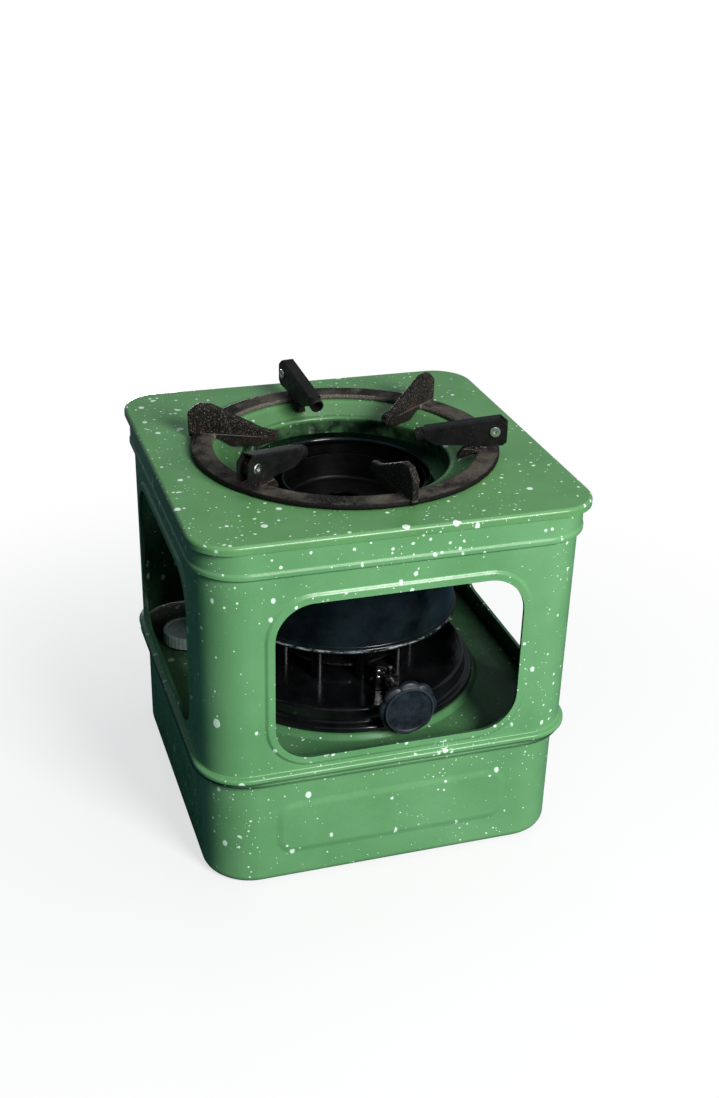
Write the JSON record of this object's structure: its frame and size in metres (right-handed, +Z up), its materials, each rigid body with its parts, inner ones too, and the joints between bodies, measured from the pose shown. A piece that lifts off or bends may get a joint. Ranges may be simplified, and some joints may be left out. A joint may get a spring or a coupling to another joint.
{
  "type": "kerosene stove",
  "caption": "Wick kerosene stove: square fuel tank, windowed enamel casing, round burner with wick knob, lift-off top plate and a cast trivet with folding pot supports.",
  "frame": {"origin": "centre of the tank's underside, on the surface the stove stands on", "axes": "+Z up; X runs along the front face, to the right as seen by the user; the front face with the knob faces -Y"},
  "size_m": [0.25, 0.25, 0.2701],
  "materials": {
    "tank_enamel": "glossy green enamel with fine pale splatter",
    "casing_enamel": "glossy green enamel with pale mint splatter",
    "plate_enamel": "glossy green enamel with dense pale mint splatter",
    "black_enamel": "glossy black enamel",
    "support_black": "satin black paint",
    "trivet_iron": "rough brown-black sand-cast iron",
    "zinc_steel": "zinc plated",
    "tube_steel": "darkened drawn tube",
    "rivet_steel": "bright plated",
    "cap_aluminium": "satin pressed aluminium",
    "gasket_fibre": "dark vulcanised fibre",
    "knob_bakelite": "satin blue-black bakelite",
    "wick_cotton": "braided cotton"
  },
  "bodies": {
    "tank": {"tank_pan": "tank_enamel", "tank_cover": "tank_enamel", "casing": "casing_enamel", "filler_neck": "zinc_steel", "burner_base": "black_enamel", "burner_head": "black_enamel", "shaft_bracket_front": "zinc_steel", "shaft_bracket_rear": "zinc_steel", "wick_tube_01": "tube_steel", "wick_tube_02": "tube_steel", "wick_tube_03": "tube_steel", "wick_tube_04": "tube_steel", "wick_tube_05": "tube_steel", "wick_tube_06": "tube_steel", "wick_tube_07": "tube_steel", "wick_tube_08": "tube_steel", "wick_tube_09": "tube_steel", "wick_tube_10": "tube_steel"},
    "knob": {"knob": "knob_bakelite", "knob_shaft": "zinc_steel", "knob_set_screw": "rivet_steel", "pinion": "zinc_steel"},
    "wick_carrier": {"wick_carrier": "zinc_steel", "rack": "zinc_steel", "rack_rivet_1": "rivet_steel", "rack_rivet_2": "rivet_steel", "wick_01": "wick_cotton", "wick_02": "wick_cotton", "wick_03": "wick_cotton", "wick_04": "wick_cotton", "wick_05": "wick_cotton", "wick_06": "wick_cotton", "wick_07": "wick_cotton", "wick_08": "wick_cotton", "wick_09": "wick_cotton", "wick_10": "wick_cotton"},
    "drum": {"drum": "black_enamel", "outer_sleeve": "black_enamel", "inner_sleeve": "black_enamel", "flame_cap": "black_enamel", "cross_pin_1": "rivet_steel", "cross_pin_2": "rivet_steel", "cross_pin_3": "rivet_steel"},
    "top_plate": {"top_plate": "plate_enamel"},
    "trivet": {"trivet": "trivet_iron", "support_rivet_back": "rivet_steel", "support_rivet_left": "rivet_steel", "support_rivet_right": "rivet_steel"},
    "support_back": {"folding_support_back": "support_black"},
    "support_left": {"folding_support_left": "support_black"},
    "support_right": {"folding_support_right": "support_black"},
    "filler_gasket": {"filler_gasket": "gasket_fibre"},
    "filler_cap": {"filler_cap": "cap_aluminium"}
  },
  "joints": [
    {"name": "knob_turn", "type": "hinge", "parent": "tank", "child": "knob", "pos_m": [0.0132, 0, 0.1053], "axis": [0, 1, 0], "range_deg": [0, 170]},
    {"name": "wick_lift", "type": "slide", "parent": "tank", "child": "wick_carrier", "axis": [0, 0, 1], "range_m": [0, 0.0148]},
    {"name": "drum_lift", "type": "slide", "parent": "tank", "child": "drum", "axis": [0, 0, 1], "range_m": [0, 0.01]},
    {"name": "top_plate_lift", "type": "slide", "parent": "tank", "child": "top_plate", "axis": [0, 0, 1], "range_m": [0, 0.06]},
    {"name": "trivet_lift", "type": "slide", "parent": "top_plate", "child": "trivet", "axis": [0, 0, 1], "range_m": [0, 0.04]},
    {"name": "support_back_fold", "type": "hinge", "parent": "trivet", "child": "support_back", "pos_m": [-0.01159, 0.09439, 0.2611], "axis": [-0.9925, -0.1219, 0], "range_deg": [0, 180]},
    {"name": "support_left_fold", "type": "hinge", "parent": "trivet", "child": "support_left", "pos_m": [-0.07595, -0.05723, 0.2611], "axis": [0.6018, -0.7986, 0], "range_deg": [0, 180]},
    {"name": "support_right_fold", "type": "hinge", "parent": "trivet", "child": "support_right", "pos_m": [0.08754, -0.03716, 0.2611], "axis": [0.3907, 0.9205, 0], "range_deg": [0, 180]},
    {"name": "cap_lift", "type": "slide", "parent": "tank", "child": "filler_gasket", "axis": [0, 0, 1], "range_m": [0, 0.0053]},
    {"name": "cap_turn", "type": "hinge", "parent": "filler_gasket", "child": "filler_cap", "pos_m": [-0.0955, 0.06003, 0.0897], "axis": [0, 0, 1], "range_deg": [0, 630]}
  ],
  "couplings": [
    {"joint": "knob_turn", "follows": "wick_lift", "rad_per_m": 200},
    {"joint": "cap_lift", "follows": "cap_turn", "m_per_rad": 0.00047746}
  ]
}
